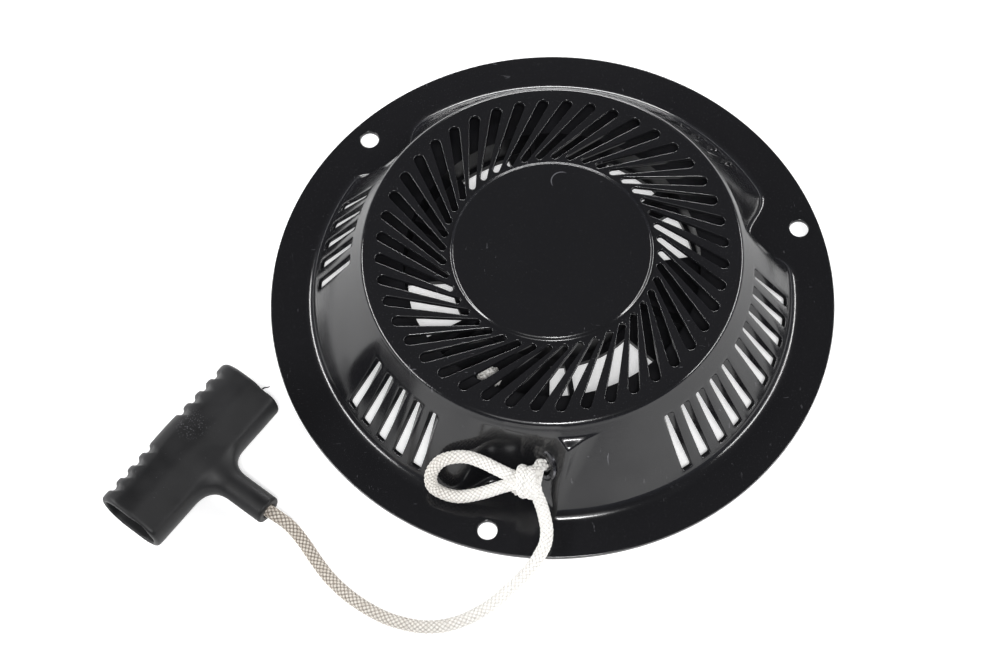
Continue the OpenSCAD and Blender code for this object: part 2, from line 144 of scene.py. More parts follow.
# Knot at the outlet: its coil, the legs inside it and the pass across its front
KNOT_AT = (-16.2, -104.2, 22.5)
KNOT_AXIS = (-0.93, 0.20, -0.05)
KNOT_UP = (0.0, 0.42, 0.9)
KNOT_POINTS = 34
KNOT_START = 200  # degrees, as the next
KNOT_TURN = 900
KNOT_OUT = 4.4
KNOT_L = 8.4
KNOT_R = 4.8
KNOT_UNEVEN = 0.4
KNOT_STEP = 0.32
KNOT_COIL_YARN_R = 2.75
KNOT_LEG_YARN_R = 2.7
KNOT_YARN = (16, 17, 0.66)  # strands, pitch and radius of a strand
KNOT_CORE = [(-9.4, -95.6, 20.6), (-12.5, -99.5, 22.2), (-15.5, -102.8, 22.8),
             (-18.5, -103.0, 22.6), (-21.5, -102.6, 22.7)]
KNOT_CROSS = [(-22.5, -103.8, 20.4), (-19.0, -105.6, 21.2), (-16.2, -107.6, 23.2),
              (-13.4, -107.6, 22.2), (-12.6, -106.4, 18.8), (-13.0, -106.0, 15.6)]

# Rope on the reel. The turns change at so many degrees from the drum's hole
WOUND_TURNS = 3
WOUND_STEP = 7.0
WOUND_ROPE_R = 2.85
WOUND_R = 74.4
WOUND_Z = 21.6
SECOND_TURN = 330
SECOND_UP = 6.6
THIRD_TURN = 640
THIRD_OUT = 5.4
THIRD_DOWN = 3.3
TURN_CHANGE = 60
ROPE_HOLE_ANGLE = 240.0
HOLE_DEPTH = 6.0
HOLE_UP = 3.4
RUN_START_ANGLE = 294.7
RUN_OUT = 1.1
REEL_KNOT_R = 61.5
REEL_KNOT_Z = 25.0

# Knots at the rope's two ends, along their own axis
END_KNOT_POINTS = 13
END_KNOT_TURNS = 1.5
END_KNOT_R = 3.1
END_KNOT_ROPE_R = 2.5
END_KNOT_LEAD = (5.2, 3.6)
END_KNOT_OUT = 2.4
END_KNOT_L = 4.6
END_KNOT_TAIL = 3.8

# Handle
HANDLE_AT = (-167.4, -78.6, 12.0)
HANDLE_TURN = -40.0
BAR_L = 84.0
BAR_W = 34.0
BAR_H = 24.0
BAR_ROUND = 2.2
SWELL = 0.5
SWELL_HALF = 15
CREASE = (0.34, 0.94, 11.95)  # plane that flattens the upper side: x, z and distance
SCALLOPS = (11.6, 19.2, 26.8, 34.4)  # from the middle, both ways
SCALLOP_R = 2.5
SCALLOP_OUT = 0.7
SCALLOP_ROUND = 0.7
SCALLOP_FROM = 7.0
SCALLOP_FADE = 6.0
NECK_R = 6.6
NECK_REACH = 46.0
NECK_START = 6.0
NECK_ROUND = 1.2
FILLET = (11.0, 4.0)  # at the neck's sides, and above and below it
GRIP_WALL = 3.0
BORE_R = 3.5
BORE_DEPTH = 8
GRIP_KNOT_X = 2.4
NET_STEP = 0.62
NET_PROBE = 0.02
NET_MARGIN = 1.2
BURR = ((8.2, 41.6, 9.0), (8.9, 42.6, 9.6), (10.0, 43.2, 10.2), (10.6, 44.2, 10.2))
BURR_R = (0.42, 0.2)

# Springs
PAWL_PIN_X = 30
PAWL_WIRE_R = 0.4
PAWL_COIL_R = 3.7
PAWL_COIL_Z = 13.8
PAWL_COIL_RISE = 0.025
PAWL_LEG = [(5.8, -10, 13.7), (5.2, -4, 13.7)]
REEL_LEG = [(-4.5, 5, 15.35), (-8, 8, 15.4)]
FRICTION_WIRE_R = 0.7
FRICTION_COIL = (10.4, 2.5, 9.95, 3.3)  # radius, turns, foot and height

# Camera, floor and light
CAMERA_ELEVATION = 63.475
CAMERA_ROLL = -2.69
CAMERA_DISTANCE = 1.04462
CAMERA_TARGET = (-0.0253, -0.0178, 0.0)
CAMERA_LENS = 80.07
FLOOR_HALF = 3000.0
FLOOR_Z = -0.05
FLOOR_GLOW = 0.45
WORLD_LOW = (0.22, 0.23, 0.28)
WORLD_HIGH = (0.082, 0.082, 0.087)
SOFTBOXES = (  # name, place, size and power
    ("key", (-0.25, -1.6, 2.3), (1.6, 1.0), 14),
    ("strip", (0.05, -1.25, 2.3), (0.5, 0.22), 34),
    ("left", (-1.75, 0.1, 0.95), (2.2, 0.2), 40),
    ("right", (1.75, 0.1, 0.95), (2.2, 0.2), 36),
    ("back", (0.1, 1.9, 0.55), (1.2, 0.25), 24),
)


# ---------------- meshes

def link(obj):
    bpy.context.scene.collection.objects.link(obj)


def mesh_object(name, points, faces, smooth_angle=40.0):
    """A mesh from points in millimetres, with one side out and soft edges under smooth_angle."""
    mesh = bpy.data.meshes.new(name)
    mesh.from_pydata((np.asarray(points, float) * MM).tolist(), [], faces)
    work = bmesh.new()
    work.from_mesh(mesh)
    loose = [v for v in work.verts if not v.link_faces]
    bmesh.ops.delete(work, geom=loose, context="VERTS")
    bmesh.ops.recalc_face_normals(work, faces=work.faces)
    work.to_mesh(mesh)
    work.free()
    mesh.shade_smooth()
    mesh.set_sharp_from_angle(angle=math.radians(smooth_angle))
    obj = bpy.data.objects.new(name, mesh)
    link(obj)
    return obj


def smooth_path(points, step):
    """A Catmull-Rom curve through the points, with a point every step."""
    p = np.asarray(points, float)
    p = np.vstack([2 * p[0] - p[1], p, 2 * p[-1] - p[-2]])
    t = np.linspace(0, 1, 40, endpoint=False)[:, None]
    dense = []
    for a, b, c, d in zip(p[:-3], p[1:-2], p[2:-1], p[3:]):
        dense.append(0.5 * (2 * b + (c - a) * t + (2 * a - 5 * b + 4 * c - d) * t ** 2
                            + (3 * b - 3 * c + d - a) * t ** 3))
    dense = np.vstack(dense + [p[-2:-1]])
    run = np.concatenate([[0], np.cumsum(np.linalg.norm(np.diff(dense, axis=0), axis=1))])
    count = max(4, int(round(run[-1] / step)))
    at = np.linspace(0, run[-1], count + 1)
    return np.stack([np.interp(at, run, dense[:, k]) for k in range(3)], 1)


def frames(path):
    """Two directions square to a path, at each of its points, that don't twist."""
    along = units(np.gradient(path, axis=0))
    first = np.cross(along[0], (0.0, 0.0, 1.0) if abs(along[0][2]) < 0.9 else (1.0, 0.0, 0.0))
    across = [first / np.linalg.norm(first)]
    for t in along[1:]:
        u = across[-1] - t * np.dot(across[-1], t)
        across.append(u / np.linalg.norm(u))
    across = np.array(across)
    return across, np.cross(along, across)


def polar(r, angle, z):
    """Points at those radii, angles in radians, and heights."""
    return np.stack(np.broadcast_arrays(r * np.cos(angle), r * np.sin(angle), z), -1)


def units(rows):
    """Each row as a direction that is 1 long. A row of zeros stays as it is."""
    return rows / np.maximum(np.linalg.norm(rows, axis=1), 1e-12)[:, None]


def bar_faces(count, sides, base=0):
    """Faces of a closed bar of count rings. Its points are numbered from base."""
    faces = []
    for i in range(count - 1):
        for k in range(sides):
            p, q = base + i * sides + k, base + i * sides + (k + 1) % sides
            faces.append((p, q, q + sides, p + sides))
    last = base + (count - 1) * sides
    faces.append(tuple(base + k for k in range(sides - 1, -1, -1)))
    faces.append(tuple(last + k for k in range(sides)))
    return faces


def tube(path, radius, sides):
    """Points and faces of a round bar. radius is one number, or one for each point of the path."""
    u, v = frames(path)
    a = np.arange(sides) * TAU / sides
    r = np.broadcast_to(np.asarray(radius, float), (len(path),))[:, None, None]
    ring = u[:, None] * np.cos(a)[None, :, None] + v[:, None] * np.sin(a)[None, :, None]
    return (path[:, None] + r * ring).reshape(-1, 3), bar_faces(len(path), sides)


def braid(path, radius, strands=16, pitch=19.0, strand_r=0.72, sides=6):
    """A braided cord: a core, and strands that wind both ways over and under each other.

    Gives points, faces, and from 0 to 1 how far each point stands out of the braid."""
    u, v = frames(path)
    run = np.concatenate([[0], np.cumsum(np.linalg.norm(np.diff(path, axis=0), axis=1))])
    points, faces = tube(path, radius - 1.5 * strand_r, 10)
    points, total = [points], len(points)
    lift_of = [np.zeros(total)]
    half = strands // 2
    for s in range(strands):
        way = 1 if s % 2 == 0 else -1
        start = (s // 2) * TAU / half
        a = start + way * TAU * run / pitch
        wave = np.cos(half * (a - start) + (0 if way > 0 else math.pi))
        lift = radius - 0.95 * strand_r + 0.42 * strand_r * wave
        lane = path + lift[:, None] * (u * np.cos(a)[:, None] + v * np.sin(a)[:, None])
        p = flat_strand(lane, path, strand_r, sides)
        away = np.linalg.norm(p - np.repeat(path, sides, 0), axis=1)
        lift_of.append(np.clip((away - radius + 1.5 * strand_r) / (1.7 * strand_r), 0, 1))
        points.append(p)
        faces += bar_faces(len(lane), sides, total)
        total += len(p)
    return np.vstack(points), faces, np.concatenate(lift_of)


def flat_strand(lane, path, r, sides):
    """Points of one strand of a braid, flattened on the cord."""
    out = units(lane - path)
    wide = units(np.cross(units(np.gradient(lane, axis=0)), out))
    a = np.arange(sides) * TAU / sides
    points = lane[:, None] + r * (0.62 * out[:, None] * np.sin(a)[None, :, None]
                                  + 1.06 * wide[:, None] * np.cos(a)[None, :, None])
    return points.reshape(-1, 3)


# ---------------- materials

class Shader:
    """A node material that is built up a node at a time."""

    def __init__(self, name, colour, roughness, metallic=0.0):
        self.material = bpy.data.materials.new(name)
        self.material.use_nodes = True
        self.tree = self.material.node_tree
        self.surface = self.tree.nodes["Principled BSDF"]
        self.surface.inputs["Base Color"].default_value = (*colour, 1)
        self.surface.inputs["Roughness"].default_value = roughness
        self.surface.inputs["Metallic"].default_value = metallic
        self.material.diffuse_color = (*colour, 1)
        self.place = self.node("ShaderNodeTexCoord").outputs["Object"]

    def feed(self, socket, value):
        if isinstance(value, bpy.types.NodeSocket):
            self.tree.links.new(value, socket)
        else:
            socket.default_value = value

    def set(self, name, value):
        self.feed(self.surface.inputs[name], value)

    def node(self, kind, links=(), **settings):
        n = self.tree.nodes.new(kind)
        for key, value in settings.items():
            setattr(n, key, value)
        for name, value in links:
            self.feed(n.inputs[name], value)
        return n

    def noise(self, scale, detail, stretch=(1, 1, 1)):
        """Noise with about scale features for each metre."""
        lie = self.node("ShaderNodeMapping", [("Vector", self.place), ("Scale", stretch)])
        links = [("Vector", lie.outputs[0]), ("Scale", scale), ("Detail", detail)]
        return self.node("ShaderNodeTexNoise", links).outputs["Fac"]

    def ramp(self, value, low, high, a=0.0, b=1.0):
        """value from low to high becomes a to b."""
        links = zip(("Value", "From Min", "From Max", "To Min", "To Max"),
                    (value, low, high, a, b))
        return self.node("ShaderNodeMapRange", links).outputs["Result"]

    def maths(self, kind, a, b=0.0):
        return self.node("ShaderNodeMath", [(0, a), (1, b)], operation=kind).outputs[0]

    def mix(self, share, a, b):
        """Colour a, and b where share is 1."""
        n = self.node("ShaderNodeMix", [("Factor", share)], data_type="RGBA")
        for socket, value in ((6, a), (7, b)):
            self.feed(n.inputs[socket], (*value, 1) if isinstance(value, tuple) else value)
        return n.outputs[2]

    def shine(self, scale, detail, low, high, stretch=(1, 1, 1)):
        """Roughness that goes from low to high in patches."""
        self.set("Roughness", self.ramp(self.noise(scale, detail, stretch), 0.3, 0.7, low, high))

    def grain(self, scale, detail, depth, stretch=(1, 1, 1)):
        """A bump of that real depth, in metres."""
        links = [("Height", self.noise(scale, detail, stretch)), ("Distance", depth),
                 ("Strength", 1.0)]
        self.set("Normal", self.node("ShaderNodeBump", links).outputs["Normal"])


def black_paint():
    """Gloss black paint on pressed steel: slight orange peel, dust and fine scratches."""
    paint = (0.0075, 0.0075, 0.0085)
    s = Shader("black_paint", paint, 0.24)
    dust = s.ramp(s.noise(2600, 1), 0.70, 0.78)
    thin = s.ramp(s.noise(160, 4, (1, 4, 1)), 0.70, 0.73)
    cross = s.ramp(s.noise(150, 4, (3.5, 1, 1)), 0.70, 0.73)
    patchy = s.ramp(s.noise(30, 2), 0.50, 0.64)
    scratch = s.maths("MULTIPLY", s.maths("MAXIMUM", thin, cross), patchy)
    marks = s.maths("MAXIMUM", s.maths("MULTIPLY", dust, 0.35),
                    s.maths("MULTIPLY", scratch, 0.55))
    marks = s.maths("MAXIMUM", marks, scuff(s))
    s.set("Base Color", s.mix(marks, paint, (0.11, 0.11, 0.12)))
    s.shine(35, 4, 0.11, 0.21)
    s.grain(650, 2, 0.000012)
    return s.material


def scuff(s):
    """A short curved scratch near the disc's edge, as a share from 0 to 1."""
    middle = (0.0064, 0.0352, 0.0458)
    radius = 0.0048
    off = s.node("ShaderNodeVectorMath", [(0, s.place), (1, middle)], operation="SUBTRACT")
    off = off.outputs[0]
    parts = s.node("ShaderNodeSeparateXYZ", [(0, off)])
    far = s.node("ShaderNodeVectorMath", [(0, off)], operation="LENGTH").outputs["Value"]
    near = s.maths("ABSOLUTE", s.maths("SUBTRACT", far, radius))
    line = s.ramp(near, 0.00012, 0.00035, 1.0, 0.0)
    upper_left = s.maths("SUBTRACT", parts.outputs["Y"], parts.outputs["X"])
    return s.maths("MULTIPLY", line, s.ramp(upper_left, 0.0015, 0.0045, 0.0, 0.8))


def rope_fibre():
    """Off-white yarn, white by the starter and duller along to the handle, with painted shade in
    the crevices between its strands.
    """
    clean, worn = (0.90, 0.89, 0.86), (0.70, 0.65, 0.58)
    s = Shader("rope_fibre", clean, 0.8)
    s.set("Sheen Weight", 0.2)
    along = s.node("ShaderNodeSeparateXYZ", [(0, s.place)]).outputs["X"]
    wear = s.ramp(along, -0.03, -0.115)
    yarn = s.mix(wear, clean, worn)
    fleck = s.maths("MULTIPLY", s.ramp(s.noise(900, 2), 0.56, 0.66),
                    s.ramp(wear, 0, 1, 0.15, 0.7))
    yarn = s.mix(fleck, yarn, (0.42, 0.35, 0.28))
    lift = s.node("ShaderNodeAttribute", attribute_name="lift").outputs["Fac"]
    # painted shade: the yarn is darkened where it lies low between strands, and more so where it is
    # duller
    painted_crevice_shade = s.maths("MULTIPLY", s.ramp(lift, 0.62, 0.98, 1.0, 0.0),
                   s.ramp(wear, 0, 1, 0.3, 1.0))
    s.set("Base Color", s.mix(painted_crevice_shade, yarn, (0.17, 0.14, 0.11)))
    s.grain(5200, 3, 0.00004)
    return s.material


def black_rubber():
    """Matt moulded rubber with a little dust, and a patch of grit on top of the bar."""
    rubber = (0.004, 0.004, 0.0045)
    grit_at = (-0.166, -0.0695, 0.024)
    s = Shader("black_rubber", rubber, 0.5)
    s.set("Specular IOR Level", 0.3)
    dust = s.maths("MULTIPLY", s.ramp(s.noise(1500, 2), 0.70, 0.80),
                   s.ramp(s.noise(40, 2), 0.48, 0.62))
    bloom = s.ramp(s.noise(30, 3), 0.35, 0.75, 0.0, 0.05)
    off = s.node("ShaderNodeVectorMath", [(0, s.place), (1, grit_at)], operation="DISTANCE")
    grit = s.maths("MULTIPLY", s.ramp(off.outputs["Value"], 0.003, 0.009, 1.0, 0.0),
                   s.ramp(s.noise(1500, 1), 0.62, 0.68, 0.0, 0.7))
    dust = s.maths("MAXIMUM", dust, grit)
    s.set("Base Color", s.mix(s.maths("MAXIMUM", dust, bloom), rubber, (0.13, 0.13, 0.14)))
    s.shine(60, 4, 0.42, 0.58)
    s.grain(2400, 3, 0.00003)
    return s.material


def metal(name, colour, dark, roughness, stretch=(1, 1, 1)):
    """Plain or plated metal with uneven shine, fine marks and a few darker patches."""
    s = Shader(name, colour, roughness, 1.0)
    s.set("Base Color", s.mix(s.ramp(s.noise(90, 4), 0.35, 0.75), colour, dark))
    s.shine(300, 4, roughness - 0.08, roughness + 0.12, stretch)
    s.grain(1800, 3, 0.000012, stretch)
    return s.material


def reel_plastic():
    """Moulded black nylon, slightly satin."""
    nylon = (0.005, 0.005, 0.006)
    s = Shader("reel_plastic", nylon, 0.42)
    s.set("Specular IOR Level", 0.25)
    s.set("Base Color", s.mix(s.ramp(s.noise(60, 3), 0.4, 0.7), nylon, (0.012, 0.012, 0.014)))
    s.shine(140, 3, 0.34, 0.5)
    s.grain(1500, 3, 0.00002)
    return s.material


def washer_fibre():
    """Pressed fibre, speckled."""
    fibre = (0.50, 0.42, 0.26)
    s = Shader("washer_fibre", fibre, 0.7)
    s.set("Base Color", s.mix(s.ramp(s.noise(1200, 3), 0.45, 0.65), fibre, (0.34, 0.27, 0.16)))
    s.grain(1700, 3, 0.00003)
    return s.material


METALS = {  # colour, colour of the darker patches, and roughness
    "dark_steel": ((0.10, 0.10, 0.11), (0.05, 0.045, 0.04), 0.45),
    "plated_steel": ((0.62, 0.62, 0.63), (0.42, 0.40, 0.36), 0.30),
    "pawl_steel": ((0.42, 0.42, 0.44), (0.25, 0.24, 0.23), 0.36),
    "spring_steel": ((0.22, 0.23, 0.26), (0.12, 0.11, 0.11), 0.30, (1, 1, 9)),
    "eyelet_steel": ((0.13, 0.13, 0.14), (0.06, 0.06, 0.06), 0.24),
    "bronze": ((0.50, 0.33, 0.14), (0.30, 0.18, 0.08), 0.38),
}


def make_materials():
    return {
        "black_paint": black_paint(),
        **{name: metal(name, *looks) for name, looks in METALS.items()},
        "washer_fibre": washer_fibre(),
        "reel_plastic": reel_plastic(),
        "black_rubber": black_rubber(),
        "rope": rope_fibre(),
    }


def finish_with(obj, slot_name):
    """Gives a piece the one material kept under slot_name."""
    obj.data.materials.clear()
    obj.data.materials.append(materials[slot_name])
    return obj


# ---------------- camera, floor and light

def add_camera():
    elevation = math.radians(CAMERA_ELEVATION)
    roll = math.radians(CAMERA_ROLL)
    back = Vector((0, -math.cos(elevation), math.sin(elevation)))
    right = Vector((1, 0, 0))
    up = back.cross(right)
    turned = math.cos(roll) * right + math.sin(roll) * up
    raised = back.cross(turned)
    camera = bpy.data.objects.new("camera", bpy.data.cameras.new("camera"))
    camera.matrix_world = Matrix((turned, raised, back)).transposed().to_4x4()
    camera.location = Vector(CAMERA_TARGET) + back * CAMERA_DISTANCE
    camera.data.sensor_width = 36
    camera.data.lens = CAMERA_LENS
    link(camera)
    bpy.context.scene.camera = camera


def add_floor():
    points = [(x * FLOOR_HALF, y * FLOOR_HALF, FLOOR_Z)
              for x, y in ((-1, -1), (1, -1), (1, 1), (-1, 1))]
    floor = mesh_object("floor", points, [(0, 1, 2, 3)])
    s = Shader("floor", (0.80, 0.80, 0.80), 0.9)
    s.set("Emission Color", (1, 1, 1, 1))
    s.set("Emission Strength", FLOOR_GLOW)
    s.set("Specular IOR Level", 0.0)
    floor.data.materials.append(s.material)
    floor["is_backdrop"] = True


def add_softbox(name, at, size, power):
    """A rectangular light that faces the starter."""
    light = bpy.data.lights.new(name, "AREA")
    light.shape = "RECTANGLE"
    light.size, light.size_y = size
    light.energy = power
    obj = bpy.data.objects.new(name, light)
    obj.location = at
    obj.rotation_euler = (-Vector(at)).to_track_quat("-Z", "Y").to_euler()
    link(obj)


def add_world():
    """A pale studio round the horizon that is dark overhead."""
    world = bpy.data.worlds.new("studio")
    bpy.context.scene.world = world
    world.use_nodes = True
    tree = world.node_tree
    place = tree.nodes.new("ShaderNodeTexCoord").outputs["Generated"]
    parts = tree.nodes.new("ShaderNodeSeparateXYZ")
    tree.links.new(place, parts.inputs[0])
    ramp = tree.nodes.new("ShaderNodeValToRGB")
    tree.links.new(parts.outputs["Z"], ramp.inputs[0])
    ramp.color_ramp.elements[0].position = 0.02
    ramp.color_ramp.elements[0].color = (*WORLD_LOW, 1)
    ramp.color_ramp.elements[1].position = 0.45
    ramp.color_ramp.elements[1].color = (*WORLD_HIGH, 1)
    tree.links.new(ramp.outputs[0], tree.nodes["Background"].inputs["Color"])


def add_lights():
    add_world()
    for softbox in SOFTBOXES:
        add_softbox(*softbox)
    bpy.context.scene.view_settings.view_transform = "Standard"


# ---------------- housing

def soft_min(a, b, k):
    h = np.maximum(k - np.abs(a - b), 0)
    return np.minimum(a, b) - h * h / (4 * k)


def soft_max(a, b, k):
    return -soft_min(-a, -b, k)


def plane_through(a, b, c, outward):
    """(normal, distance) of the plane through three points, with its normal turned outward."""
    a, b, c = (np.asarray(p, float) for p in (a, b, c))
    n = np.cross(b - a, c - a)
    if np.dot(n, outward) < 0:
        n = -n
    n /= np.linalg.norm(n)
    return n, np.dot(n, a)


def reach_to_plane(plane, cos, sin, z):
    """How far out a level ray from the axis goes before it meets the plane."""
    least_lean, never = 0.02, 400.0
    n, c = plane
    lean = n[0] * cos + n[1] * sin
    return np.where(lean > least_lean, (c - n[2] * z) / np.maximum(lean, least_lean), never)


BOSS_TOP = plane_through(*BOSS_SHELF, BOSS_RIDGE_TOP, (0, 0, 1))
BOSS_FRONT = plane_through(BOSS_SHELF[1], BOSS_RIDGE_TOP, BOSS_RIDGE_FOOT, (0, -1, 0))


def boss_reach(theta, z):
    """Outer radius of the rope outlet's boss, and 0 where there is none."""
    cos, sin = np.cos(theta), np.sin(theta)
    left = reach_to_plane(BOSS_LEFT, cos, sin, z)
    front = reach_to_plane(BOSS_FRONT, cos, sin, z)
    top = reach_to_plane(BOSS_TOP, cos, sin, z)
    reach = soft_min(soft_min(left, front, BOSS_RIDGE_ROUND), top, BOSS_TOP_ROUND)
    degrees = np.degrees(theta) % 360
    inside = (degrees > BOSS_SPAN[0]) & (degrees < BOSS_SPAN[1])
    return np.where(inside, reach, 0.0)


def pocket_reach(theta, z, bolt, wall):
    """Outer radius left by the pocket that a bolt's head sits in, pressed into that wall."""
    turn = (np.degrees(theta) - bolt + 180) % 360 - 180
    across = np.abs(np.radians(turn)) * POCKET_AT_R / POCKET_HALF
    floor = np.minimum(POCKET_TOP_R + POCKET_DRAFT * (RIM_CENTRE[1] - z), wall)
    reach = wall - (wall - floor) * np.exp(-across ** 3)
    if bolt == BOLT_ANGLES[2]:
        face = reach_to_plane(BOSS_LEFT, np.cos(theta), np.sin(theta), z)
        beside = soft_min(soft_max(floor, face, POCKET_FACE_ROUND), wall, POCKET_EDGE_ROUND)
        reach = np.where(turn > 0, beside, reach)
    return reach


def wall_reach(theta, z):
    """Outer radius of the housing's wall in that direction and at that height."""
    theta, z = np.broadcast_arrays(np.asarray(theta, float), np.asarray(z, float))
    wall = FOOT_R - (z - FLANGE_Z) * WALL_SLOPE
    reach = wall
    for bolt in BOLT_ANGLES:
        reach = np.minimum(reach, pocket_reach(theta, z, bolt, wall))
    return soft_max(reach, boss_reach(theta, z), BOSS_WALL_ROUND)


class Skin:
    """The outer skin of a pressed sheet: points, how far each is pressed in, and faces."""

    def __init__(self):
        self.points = []
        self.drops = []
        self.faces = []
        self.inner_shifts = {}

    def add(self, points, drop=0.0):
        first = len(self.points)
        self.points += [tuple(p) for p in points]
        self.drops += [drop] * len(points)
        return list(range(first, len(self.points)))

    def strip(self, a, b):
        """Faces between two closed rows with the same number of points."""
        for k in range(len(a)):
            n = (k + 1) % len(a)
            self.faces.append((a[k], a[n], b[n], b[k]))

    def hole(self, border, outline):
        """Fills from a border to a hole, with a rounded lip. outline(o) is the hole grown by o."""
        row = border
        for offset, drop in LIP:
            loop = self.add(outline(offset), drop)
            self.strip(row, loop)
            row = loop

    def zipper(self, a, b):
        """Faces between two closed rows that go the same way round with different counts."""
        turn_a, turn_b = self.turns(a), self.turns(b)
        shift = int(np.argmin(np.abs((turn_b - turn_a[0] + 0.5) % 1 - 0.5)))
        b = b[shift:] + b[:shift]
        turn_b = self.turns(b)
        at_a = (turn_a - turn_a[0]) % 1
        at_b = ((turn_b - turn_a[0] + 0.5) % 1 - 0.5)
        at_b = np.where(at_b < at_b[0] - 1e-9, at_b + 1, at_b)
        at_a, at_b = np.append(at_a, 1.0), np.append(at_b, at_b[0] + 1)
        a, b = a + a[:1], b + b[:1]
        i = j = 0
        while i < len(a) - 1 or j < len(b) - 1:
            if j == len(b) - 1 or (i < len(a) - 1 and at_a[i + 1] <= at_b[j + 1]):
                self.faces.append((a[i], a[i + 1], b[j]))
                i += 1
            else:
                self.faces.append((a[i], b[j + 1], b[j]))
                j += 1

    def turns(self, row):
        p = np.array([self.points[k] for k in row])
        return (np.arctan2(p[:, 1], p[:, 0]) / TAU) % 1

    def closed_sheet(self, name, thickness, level_above):
        """Both skins of the sheet, and its edges. Above level_above the inner skin is straight
        below the outer one."""
        base = np.array(self.points)
        normals = self.normals(base)
        inward = self.blurred(normals)
        flat = base[:, 2] > level_above
        inward[flat] = (0, 0, 1)
        outer = base - np.array(self.drops)[:, None] * normals
        inner = base - thickness * inward
        for k, shift in self.inner_shifts.items():
            inner[k] += shift
        count = len(base)
        faces = list(self.faces) + [tuple(count + k for k in reversed(f)) for f in self.faces]
        for a, b in self.border():
            faces.append((b, a, count + a, count + b))
        return mesh_object(name, np.vstack([outer, inner]), faces, 38)

    def normals(self, base):
        total = np.zeros_like(base)
        for size in (3, 4):
            f = np.array([x for x in self.faces if len(x) == size])
            if len(f) == 0:
                continue
            n = np.cross(base[f[:, 2]] - base[f[:, 0]], base[f[:, -1]] - base[f[:, 1]])
            for k in range(size):
                np.add.at(total, f[:, k], n)
        return units(total)

    def blurred(self, normals):
        pairs = np.array([(f[k], f[(k + 1) % len(f)]) for f in self.faces for k in range(len(f))])
        for _ in range(NORMAL_BLURS):
            total = normals.copy()
            np.add.at(total, pairs[:, 0], normals[pairs[:, 1]])
            np.add.at(total, pairs[:, 1], normals[pairs[:, 0]])
            normals = units(total)
        return normals

    def border(self):
        """Edges that only one face has, in that face's direction."""
        seen = set()
        for f in self.faces:
            for k in range(len(f)):
                edge = (f[k], f[(k + 1) % len(f)])
                if (edge[1], edge[0]) in seen:
                    seen.discard((edge[1], edge[0]))
                else:
                    seen.add(edge)
        return sorted(seen)


def column_angles():
    """Angles of the columns, in degrees. Each side of a slot's or a hole's block is on one, and
    they are closer by the pockets and the boss."""
    marks = {BOSS_END}
    for group in SIDE_GROUPS:
        marks |= {round((group + (k - 2.5) * SIDE_SLOT_PITCH) % 360, 4) for k in range(6)}
    for bolt in BOLT_ANGLES:
        for off in (-POCKET_BLOCK, -HOLE_BLOCK, HOLE_BLOCK, POCKET_BLOCK):
            marks.add(round((bolt + off) % 360, 4))
    marks = sorted(marks)
    angles = []
    for a, b in zip(marks, marks[1:] + [marks[0] + 360]):
        middle = (a + b) / 2
        fine = any(abs((middle - bolt + 180) % 360 - 180) < POCKET_BLOCK for bolt in BOLT_ANGLES)
        fine = fine or BOLT_ANGLES[2] < middle < BOSS_END
        count = max(1, math.ceil((b - a) / (FINE_COLUMN if fine else COARSE_COLUMN) - 0.01))
        angles += [a + (b - a) * k / count for k in range(count)]
    return np.array(angles)


def wall_rows():
    """Heights of the rows between the foot's rounding and the rim's, and where the block that
    holds the side slots starts and how many rows it has."""
    block = list(np.arange(5.6, 33.7, 2.0)) + [34.2, 35.0, 35.7, 36.2]
    shelf = [36.6, 37.0, 37.4, 37.8, 38.2, 38.7, 39.3, 40.0, 40.8, 41.6, 42.4]
    return np.array([5.3] + block + shelf), 1, len(block)


def side_slot_outline(middle, offset, across, up):
    """Points round a side slot grown by offset, from its lower left corner. It has small corner
    arcs, across points along its foot and up points along its side."""
    round_r = SIDE_SLOT_ROUND
    half, (low, high) = SIDE_SLOT_HALF, SIDE_SLOT_Z
    ease = np.radians([45, 67.5, 90])
    arc = round_r * (1 - np.sin(ease)) - offset * np.sin(ease)
    arc_other = round_r * (1 - np.cos(ease)) - offset * np.cos(ease)

    def side(start, end, count):
        """Along one side, from the middle of one corner arc to the middle of the next."""
        inner = np.linspace(start + round_r, end - round_r, count - 3)
        along = np.concatenate([start + arc_other[:2], inner, end - arc_other[:2][::-1]])
        inset = np.concatenate([arc[:2], np.full(count - 3, -offset), arc[:2][::-1]])
        return along, inset

    x, inset = side(-half, half, across)
    z, inset_z = side(low, high, up)
    points = [(a, low + b) for a, b in zip(x[:-1], inset[:-1])]
    points += [(half - b, a) for a, b in zip(z[:-1], inset_z[:-1])]
    points += [(a, high - b) for a, b in zip(x[:0:-1], inset[:0:-1])]
    points += [(-half + b, a) for a, b in zip(z[:0:-1], inset_z[:0:-1])]
    flat = np.array(points)
    plain = FOOT_R - (flat[:, 1] - FLANGE_Z) * WALL_SLOPE
    theta = math.radians(middle) + flat[:, 0] / plain
    return polar(wall_reach(theta, flat[:, 1]), theta, flat[:, 1])


def taper_slot(skin, middle, count):
    """The punch drags the sheet in at a slot's edges, more towards the top and on the right."""
    last = len(skin.points)
    low, high = SIDE_SLOT_Z
    for k in range(last - count, last):
        x, y, z = skin.points[k]
        turned = (math.atan2(y, x) - middle + math.pi) % TAU - math.pi
        across = 0.5 + turned * math.hypot(x, y) / (2 * SIDE_SLOT_HALF)
        drag = SLOT_DRAG[1] * across - SLOT_DRAG[0] * (1 - across)
        drag *= (z - low) / (high - low)
        skin.inner_shifts[k] = drag * np.array([math.sin(middle), -math.cos(middle), 0])


def bolt_hole_outline(bolt, border, offset):
    """Points round a bolt hole, each in the direction of its point on the border."""
    middle = polar(BOLT_CIRCLE_R, math.radians(bolt), 0)[:2]
    off = border[:, :2] - middle
    off *= (BOLT_HOLE_R + offset) / np.linalg.norm(off, axis=1)[:, None]
    return np.column_stack([middle + off, np.full(len(off), FLANGE_Z)])


